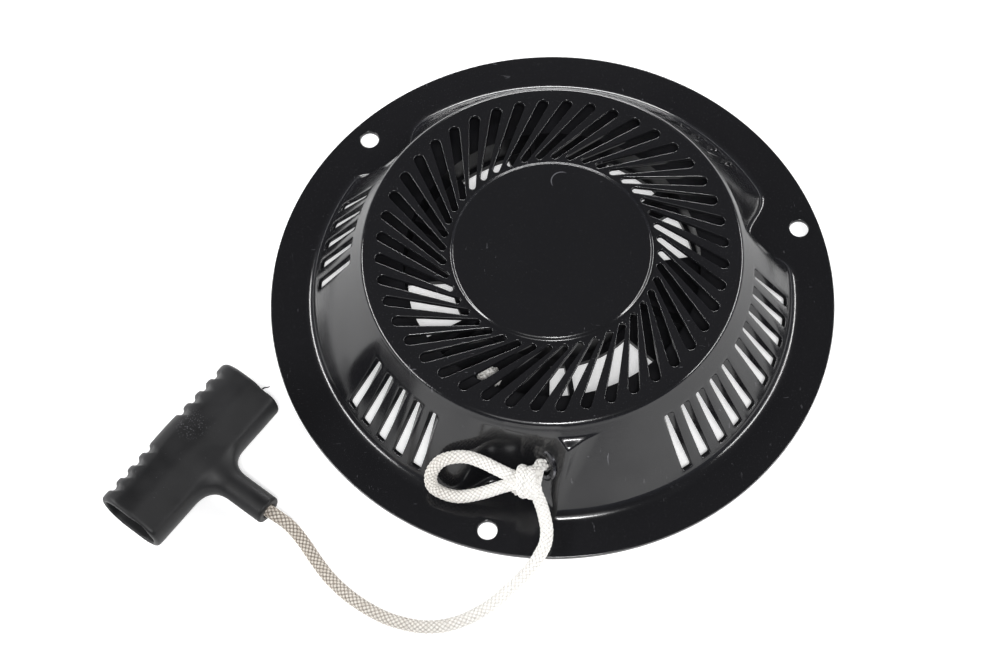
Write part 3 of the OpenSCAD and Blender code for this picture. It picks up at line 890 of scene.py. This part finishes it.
def column_span(degrees, *ends):
    """Numbers of the columns nearest to two angles. The second may run past the last column."""
    j0, j1 = (int(np.argmin(np.abs((degrees - end + 180) % 360 - 180))) for end in ends)
    return j0, j0 + (j1 - j0) % len(degrees)


def ring_of(rows, j0, j1, i0, i1):
    """Border of a block of the grid, along row i0, up column j1, and back to the start."""
    count = len(rows[0])
    columns = [j % count for j in range(j0, j1 + 1)]
    border = [rows[i0][j] for j in columns[:-1]]
    border += [rows[i][columns[-1]] for i in range(i0, i1)]
    border += [rows[i1][j] for j in columns[:0:-1]]
    border += [rows[i][columns[0]] for i in range(i1, i0, -1)]
    return border


def add_wall(skin):
    """Flange, foot, wall and rim, with the bolt holes and the wall's slots. Gives its top row."""
    degrees = column_angles()
    theta = np.radians(degrees)
    rows = []

    def add_row(r, z, drop=0.0):
        rows.append(skin.add(polar(r, theta, z), drop))

    for k, r in enumerate(FLANGE_ROWS):
        add_row(r, FLANGE_Z, FLANGE_EDGE_DROPS[k] if k < len(FLANGE_EDGE_DROPS) else 0.0)
    foot = wall_reach(theta, FLANGE_Z) + FOOT_ROUND
    for share in (0.25, 0.5, 0.75):
        add_row(FLANGE_ROWS[-1] + (foot - FLANGE_ROWS[-1]) * share, FLANGE_Z)
    for a in np.radians([0, 22.5, 45, 67.5]):
        z = FLANGE_Z + FOOT_ROUND * (1 - math.cos(a))
        add_row(wall_reach(theta, z) + FOOT_ROUND * (1 - math.sin(a)), z)
    first_wall = len(rows)
    heights, start, block = wall_rows()
    for z in heights:
        add_row(wall_reach(theta, z), z)
    lean = math.atan(WALL_SLOPE)
    for a in np.linspace(lean, math.pi / 2, 8):
        add_row(RIM_CENTRE[0] + RIM_ROUND * math.cos(a), RIM_CENTRE[1] + RIM_ROUND * math.sin(a))
    blocks = []
    i0, i1 = first_wall + start, first_wall + start + block - 1
    for group in SIDE_GROUPS:
        for k in range(-2, 3):
            left = group + (k - 0.5) * SIDE_SLOT_PITCH
            j0, j1 = column_span(degrees, left, left + SIDE_SLOT_PITCH)
            blocks.append((j0, j1, i0, i1))
            border = ring_of(rows, j0, j1, i0, i1)
            middle = group + k * SIDE_SLOT_PITCH
            size = (j1 - j0, i1 - i0)
            skin.hole(border, lambda o, m=middle, s=size: side_slot_outline(m, o, *s))
            taper_slot(skin, math.radians(middle), len(border))
    for bolt in BOLT_ANGLES:
        j0, j1 = column_span(degrees, bolt - HOLE_BLOCK, bolt + HOLE_BLOCK)
        blocks.append((j0, j1, *HOLE_ROWS))
        border = ring_of(rows, j0, j1, *HOLE_ROWS)
        places = np.array([skin.points[k] for k in border])
        skin.hole(border, lambda o, b=bolt, p=places: bolt_hole_outline(b, p, o))
    taken = {(i, j % len(degrees)) for j0, j1, i0, i1 in blocks
             for i in range(i0, i1) for j in range(j0, j1)}
    for i in range(len(rows) - 1):
        for j in range(len(degrees)):
            if (i, j) not in taken:
                n = (j + 1) % len(degrees)
                skin.faces.append((rows[i][j], rows[i][n], rows[i + 1][n], rows[i + 1][j]))
    return rows[-1]


def grille_slot_line():
    """Outer and inner centres of the first slot's rounded ends."""
    turn = math.radians(SLOT_SWEEP)
    a = np.array([SLOT_OUTER[0], 0.0])
    b = SLOT_INNER[0] * np.array([math.cos(turn), math.sin(turn)])
    return a, b


def grille_slot_outline(turn, offset):
    """Points round a tapered slot, grown by offset, that start where its outer end begins."""
    a, b = grille_slot_line()
    d = (b - a) / np.linalg.norm(b - a)
    phi = math.atan2(d[1], d[0])
    lean = math.asin((SLOT_OUTER[1] - SLOT_INNER[1]) / np.linalg.norm(b - a))
    wide, narrow = SLOT_OUTER[1] + offset, SLOT_INNER[1] + offset
    side = math.pi / 2 - lean
    ends_a = a + polar(wide, phi + np.linspace(side, TAU - side, GRILLE_ENDS + 1), 0)[:, :2]
    ends_b = b + polar(narrow, phi + np.linspace(-side, side, GRILLE_ENDS + 1), 0)[:, :2]
    t = np.linspace(0, 1, GRILLE_SIDES + 1)[1:-1, None]
    there = ends_a[-1] + (ends_b[0] - ends_a[-1]) * t
    back = ends_b[-1] + (ends_a[0] - ends_b[-1]) * t
    flat = np.vstack([ends_a, there, ends_b, back])
    spin = np.array([[math.cos(turn), math.sin(turn)], [-math.sin(turn), math.cos(turn)]])
    return np.column_stack([flat @ spin, np.full(len(flat), GRILLE_Z)])


def grille_block_lines():
    """The line between two slots, from the outer circle to the inner one, as radii and angles."""
    a, b = grille_slot_line()
    d = (b - a) / np.linalg.norm(b - a)

    def meets(radius):
        lean = np.dot(a, d)
        return -lean - math.sqrt(lean * lean - np.dot(a, a) + radius * radius)

    at = np.linspace(meets(GRILLE_SPAN[0]), meets(GRILLE_SPAN[1]), GRILLE_SIDES + 1)
    line = a + at[:, None] * d
    return np.hypot(line[:, 0], line[:, 1]), np.arctan2(line[:, 1], line[:, 0])


def add_grille(skin, rim_row):
    """The slotted ring inside the rim, the step and the raised disc."""
    pitch = TAU / SLOT_COUNT
    radii, angles = grille_block_lines()
    count = SLOT_COUNT * GRILLE_ENDS
    turn = np.arange(count) * pitch / GRILLE_ENDS - pitch / 2

    def ring(radius, start, z):
        return skin.add(polar(radius, turn + start, z))

    outer = ring(radii[0], angles[0], GRILLE_Z)
    inner = ring(radii[-1], angles[-1], GRILLE_Z)
    lines = []
    for k in range(SLOT_COUNT):
        lines.append(skin.add(polar(radii[1:-1], (k - 0.5) * pitch + angles[1:-1], GRILLE_Z)))
    for k in range(SLOT_COUNT):
        n = (k + 1) % SLOT_COUNT
        around = [(k * GRILLE_ENDS + e) % count for e in range(GRILLE_ENDS + 1)]
        border = [outer[e] for e in around] + lines[n]
        border += [inner[e] for e in around[::-1]] + lines[k][::-1]
        skin.hole(border, lambda o, t=k * pitch: grille_slot_outline(t, o))
    skin.zipper(rim_row, outer)
    add_disc(skin, inner, ring, angles[-1])


def add_disc(skin, inner, ring, start):
    """From the grille's inner circle up the step and in to the middle."""
    row = inner
    for r, rise in DISC_PROFILE:
        following = ring(r, start, GRILLE_Z + rise)
        skin.strip(row, following)
        row = following
    middle = skin.add([(0, 0, DISC_Z)])[0]
    for k in range(len(row)):
        skin.faces.append((row[k], row[(k + 1) % len(row)], middle))


def make_housing():
    skin = Skin()
    rim_row = add_wall(skin)
    add_grille(skin, rim_row)
    shell = skin.closed_sheet("housing_shell", SHEET, GRILLE_Z - 0.4)
    finish_with(shell, "black_paint")
    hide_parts("housing")
    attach(shell, "cover")
    return shell


# ---------------- rope

def knot_path():
    """Two and a half uneven turns round the legs of the loop."""
    axis = np.array(KNOT_AXIS)
    axis /= np.linalg.norm(axis)
    up = np.array(KNOT_UP)
    up -= axis * np.dot(up, axis)
    up /= np.linalg.norm(up)
    side = np.cross(axis, up)
    path = []
    for k in range(KNOT_POINTS + 1):
        t = k / KNOT_POINTS
        a = math.radians(KNOT_START - KNOT_TURN * t)
        r = KNOT_R + KNOT_UNEVEN * math.sin(3 * TAU * t)
        path.append(np.array(KNOT_AT) + axis * (KNOT_OUT - KNOT_L * t)
                    + r * (up * math.cos(a) + side * math.sin(a)))
    return smooth_path(path, KNOT_STEP)


def make_knot():
    braids = [braid(knot_path(), KNOT_COIL_YARN_R, *KNOT_YARN)]
    braids += [braid(smooth_path(route, KNOT_STEP), KNOT_LEG_YARN_R, *KNOT_YARN)
               for route in (KNOT_CORE, KNOT_CROSS)]
    faces, total = [], 0
    for points, braid_faces, _ in braids:
        faces += [tuple(total + k for k in face) for face in braid_faces]
        total += len(points)
    return rope_piece("stop_knot", np.vstack([b[0] for b in braids]), faces,
                      np.concatenate([b[2] for b in braids]))


def rope_piece(name, points, faces, lift):
    """A braided piece. Its points know how far they stand out of the braid, for the painted shade
    in its crevices.
    """
    obj = mesh_object(name, points, faces, 180)
    attribute = obj.data.attributes.new("lift", "FLOAT", "POINT")
    attribute.data.foreach_set("value", lift.astype(np.float32))
    return finish_with(obj, "rope")


def make_rope():
    knot = make_knot()
    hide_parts("slip_knot")
    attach(knot, "handle")
    tail_path = smooth_path(ROPE_ROUTE, ROPE_STEP)
    tail = rope_piece("rope_tail", *braid(tail_path, ROPE_D / 2))
    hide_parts("starter_rope")
    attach(tail, "handle")
    loop_path = smooth_path(LOOP_ROUTE, ROPE_STEP)
    loop = rope_piece("rope_bight", *braid(loop_path, ROPE_D / 2))
    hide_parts("rope_loop")
    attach(loop, "handle")
    lead_path = smooth_path(RUN_ROUTE + [LEAD_END], ROPE_STEP)
    lead = rope_piece("rope_lead", *braid(lead_path, ROPE_D / 2, *HIDDEN_YARN))
    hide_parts("rope_run")
    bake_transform(lead)
    wound = rope_piece("rope_on_reel", *braid(wound_path(), WOUND_ROPE_R, *HIDDEN_YARN, 4))
    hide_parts("rope_wound")
    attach(wound, "reel")
    out = polar(REEL_KNOT_R, math.radians(ROPE_HOLE_ANGLE), 0)
    add_end_knot("reel_end_knot", out + (0, 0, REEL_KNOT_Z), out, "reel", "reel_knot")
    add_end_knot("grip_end_knot", handle_place(GRIP_KNOT_X, 0, 0),
                 handle_place(1, 0, 0) - handle_place(0, 0, 0), "handle", "handle_knot")


def wound_path():
    """Nearly three turns, two side by side on the drum and one over them, from the drum's hole
    to where the run starts."""
    start = ROPE_HOLE_ANGLE + 360 * WOUND_TURNS
    path = []
    for a in np.arange(start, RUN_START_ANGLE, -WOUND_STEP):
        turned = start - a
        second = np.clip((turned - SECOND_TURN) / TURN_CHANGE, 0, 1)
        third = np.clip((turned - THIRD_TURN) / TURN_CHANGE, 0, 1)
        in_hole, by_hole = max(0.0, 1 - turned / 14), max(0.0, 1 - turned / 40)
        leaving = max(0.0, 1 - (a - RUN_START_ANGLE) / 50)
        r = WOUND_R - HOLE_DEPTH * in_hole + THIRD_OUT * third
        r += RUN_OUT * leaving ** 2
        z = WOUND_Z + SECOND_UP * second - THIRD_DOWN * third
        z += HOLE_UP * by_hole
        path.append(polar(r, math.radians(a), z))
    path.append(RUN_ROUTE[0])
    return smooth_path(path, 0.8)


def add_end_knot(name, middle, axis, body, node):
    """A small overhand knot: one and a half turns drawn tight, and the short end."""
    axis = np.asarray(axis, float)
    axis /= np.linalg.norm(axis)
    up = np.array([0, 0, 1.0])
    side = np.cross(axis, up)
    path = [middle + axis * reach for reach in END_KNOT_LEAD]
    for k in range(END_KNOT_POINTS + 1):
        a = TAU * (k / END_KNOT_POINTS) * END_KNOT_TURNS
        path.append(middle + axis * (END_KNOT_OUT - END_KNOT_L * k / END_KNOT_POINTS)
                    + END_KNOT_R * (up * math.cos(a) + side * math.sin(a)))
    path.append(middle - axis * END_KNOT_TAIL)
    knot = rope_piece(name, *braid(smooth_path(path, 0.5), END_KNOT_ROPE_R, 12, 17.0, 0.8, 5))
    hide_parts(node)
    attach(knot, body)


# ---------------- handle

def handle_place(x, y, z):
    """A point of the handle's own frame, in the part's frame."""
    t = math.radians(HANDLE_TURN)
    return np.array([HANDLE_AT[0] + x * math.cos(t) - y * math.sin(t),
                     HANDLE_AT[1] + x * math.sin(t) + y * math.cos(t), HANDLE_AT[2] + z])


def grip_distance(p):
    """Signed distance to the handle's rubber, in the handle's frame."""
    x, y, z = p[..., 0], p[..., 1], p[..., 2]
    half = BAR_H / 2
    reach = BAR_W / 2 - half
    swell = SWELL * np.exp(-(y / SWELL_HALF) ** 2)
    flat = np.hypot(np.maximum(np.abs(x) - reach, 0), z)
    section = flat - half
    section = np.where(x < 0, section - swell, section)
    crease = CREASE[0] * x + CREASE[1] * z - CREASE[2]
    section = soft_max(section, crease, 0.8)
    outer_edge = np.clip((-x - SCALLOP_FROM) / SCALLOP_FADE, 0, 1)
    for middle in [way * s for s in SCALLOPS for way in (-1, 1)]:
        notch = SCALLOP_R * outer_edge - np.hypot(section - SCALLOP_OUT, y - middle)
        section = soft_max(section, notch, SCALLOP_ROUND)
    bar = soft_max(section, np.abs(y) - BAR_L / 2, BAR_ROUND)
    around = np.hypot(y, z)
    neck = soft_max(around - NECK_R, x - NECK_REACH, NECK_ROUND)
    neck = np.maximum(neck, NECK_START - x)
    fillet = FILLET[0] - (FILLET[0] - FILLET[1]) * np.clip((np.abs(z) - 5.0) / 6.0, 0, 1)
    body = soft_min(bar, neck, fillet)
    body = np.maximum(body, np.abs(z) - half)
    hollow = flat - (half - GRIP_WALL)
    bore = np.maximum(around - BORE_R, BAR_W / 2 - BORE_DEPTH - x)
    return soft_max(soft_max(body, -hollow, 0.9), -bore, 0.6)


def surface_net(distance, low, high, step):
    """Points and faces of the surface where distance is 0, with points moved on to it."""
    axes = [np.arange(a, b + step, step) for a, b in zip(low, high)]
    grid = np.stack(np.meshgrid(*axes, indexing="ij"), -1)
    value = distance(grid)
    inside = value < 0
    total = np.zeros([n - 1 for n in inside.shape] + [3])
    count = np.zeros(total.shape[:3])
    corners = [(a, b, c) for a in (0, 1) for b in (0, 1) for c in (0, 1)]
    for c in corners:
        for axis in range(3):
            if c[axis]:
                continue
            d = list(c)
            d[axis] = 1
            pick = tuple(slice(k, n - 1 + k) for k, n in zip(c, inside.shape))
            far = tuple(slice(k, n - 1 + k) for k, n in zip(d, inside.shape))
            va, vb = value[pick], value[far]
            cut = (va < 0) != (vb < 0)
            t = np.where(cut, va / np.where(cut, va - vb, 1), 0)[..., None]
            total += np.where(cut[..., None], grid[pick] + t * (grid[far] - grid[pick]), 0)
            count += cut
    used = count > 0
    number = np.full(used.shape, -1)
    number[used] = np.arange(used.sum())
    points = total[used] / count[used][:, None]
    faces = []
    for axis in range(3):
        u, v = (axis + 1) % 3, (axis + 2) % 3
        a = np.take(inside, range(inside.shape[axis] - 1), axis)
        b = np.take(inside, range(1, inside.shape[axis]), axis)
        at = np.argwhere(a != b)
        at = at[(at[:, u] > 0) & (at[:, v] > 0)]
        at = at[(at[:, u] < used.shape[u]) & (at[:, v] < used.shape[v])]
        quad = []
        for du, dv in ((1, 1), (0, 1), (0, 0), (1, 0)):
            cell = at.copy()
            cell[:, u] -= du
            cell[:, v] -= dv
            quad.append(number[tuple(cell.T)])
        faces += np.stack(quad, 1).tolist()
    for _ in range(3):
        rise = [distance(points + e) - distance(points - e) for e in np.eye(3) * NET_PROBE]
        gradient = np.stack(rise, 1) / (2 * NET_PROBE)
        size = np.maximum((gradient ** 2).sum(1), 0.25)
        points = points - np.clip(distance(points) / size, -0.3, 0.3)[:, None] * gradient
    return points, faces


def make_handle():
    margin = NET_MARGIN
    low = (-BAR_W / 2 - margin - 1, -BAR_L / 2 - margin, -BAR_H / 2 - margin)
    high = (NECK_REACH + margin, BAR_L / 2 + margin, BAR_H / 2 + margin)
    points, faces = surface_net(grip_distance, low, high, NET_STEP)
    placed = np.stack(handle_place(points[:, 0], points[:, 1], points[:, 2]), 1)
    grip = finish_with(mesh_object("grip", placed, faces, 60), "black_rubber")
    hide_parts("handle_grip")
    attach(grip, "handle")
    path = smooth_path([handle_place(*p) for p in BURR], 0.3)
    points, faces = tube(path, np.linspace(*BURR_R, len(path)), 8)
    sprue = finish_with(mesh_object("grip_sprue", points, faces), "black_rubber")
    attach(sprue, "handle")


# ---------------- other CAD nodes

SLOT_NODES = {
    "dark_steel": ("post_plate", "spring_case", "spring_cover"),
    "plated_steel": ("centre_post", "bolt_washer", "retaining_bolt", "cover_screws", "pawl_pins",
                     "rope_retainer"),
    "pawl_steel": ("friction_plate", "pawl_1", "pawl_2"),
    "spring_steel": ("mainspring",),
    "eyelet_steel": ("rope_eyelet", "eyelet_ring"),
    "bronze": ("reel_bushing",),
    "washer_fibre": ("upper_thrust_washer", "thrust_washer"),
    "reel_plastic": ("reel",),
}


def dress_nodes():
    for slot_name, nodes in SLOT_NODES.items():
        for node in nodes:
            finish_with(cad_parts[node], slot_name)


def pawl_spring_path(turned):
    """A small torsion spring round a pawl's pin, with a leg on the pawl and a leg on the reel."""
    coil = [polar(PAWL_COIL_R, math.radians(12 + 15 * i), PAWL_COIL_Z + PAWL_COIL_RISE * i)
            for i in range(61)]
    side = -1 if turned else 1
    return [(side * (PAWL_PIN_X + x), side * y, z) for x, y, z in PAWL_LEG + coil + REEL_LEG]


def make_springs():
    r, turns, foot, height = FRICTION_COIL
    coil = [polar(r, TAU * turns * t, foot + height * t) for t in np.linspace(0, 1, 61)]
    for name, path, radius in (("friction_spring", coil, FRICTION_WIRE_R),
                               ("pawl_spring_1", pawl_spring_path(False), PAWL_WIRE_R),
                               ("pawl_spring_2", pawl_spring_path(True), PAWL_WIRE_R)):
        points, faces = tube(smooth_path(path, 0.45), radius, 12)
        wire = finish_with(mesh_object(name + "_wire", points, faces, 60), "plated_steel")
        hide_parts(name)
        if name == "friction_spring":
            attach(wire, "reel")
            continue
        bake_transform(wire)


# ---------------- the scene

add_camera()
materials = make_materials()
add_floor()
add_lights()
make_rope()
make_housing()
make_handle()
make_springs()
dress_nodes()


def corners(box):
    return [[float(c) for c in corner] for corner in box]


{"cad": corners(cad_box), "visual": corners(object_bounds())}
